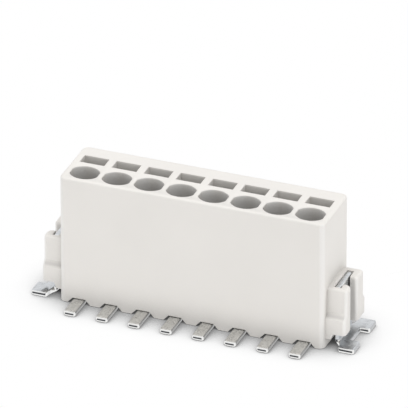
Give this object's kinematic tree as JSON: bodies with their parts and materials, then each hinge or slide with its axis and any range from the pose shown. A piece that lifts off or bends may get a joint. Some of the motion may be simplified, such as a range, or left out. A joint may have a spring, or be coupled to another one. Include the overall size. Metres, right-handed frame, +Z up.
{
  "type": "pcb terminal block",
  "caption": "Tall narrow surface-mount terminal block with a row of wire entries and release slots on top, solder feet in front and a sheet metal anchor at each end.",
  "frame": {"origin": "centre of the footprint, on the plane of the circuit board", "axes": "+X along the row of terminals, +Y from the solder feet towards the back, +Z up, against the way the wires go in"},
  "size_m": [0.0252, 0.007, 0.0103],
  "materials": {
    "housing_plastic": "white moulded, faintly warm, satin",
    "contact_tin": "matt tin plating",
    "spring_steel": "bright rolled strip",
    "anchor_tin": "matt tin plating"
  },
  "bodies": {
    "root": {"housing": "housing_plastic", "contact_1": "contact_tin", "contact_2": "contact_tin", "contact_3": "contact_tin", "contact_4": "contact_tin", "contact_5": "contact_tin", "contact_6": "contact_tin", "contact_7": "contact_tin", "contact_8": "contact_tin", "clamp_spring_1": "spring_steel", "clamp_spring_2": "spring_steel", "clamp_spring_3": "spring_steel", "clamp_spring_4": "spring_steel", "clamp_spring_5": "spring_steel", "clamp_spring_6": "spring_steel", "clamp_spring_7": "spring_steel", "clamp_spring_8": "spring_steel", "anchor_left": "anchor_tin", "anchor_right": "anchor_tin"}
  },
  "joints": []
}
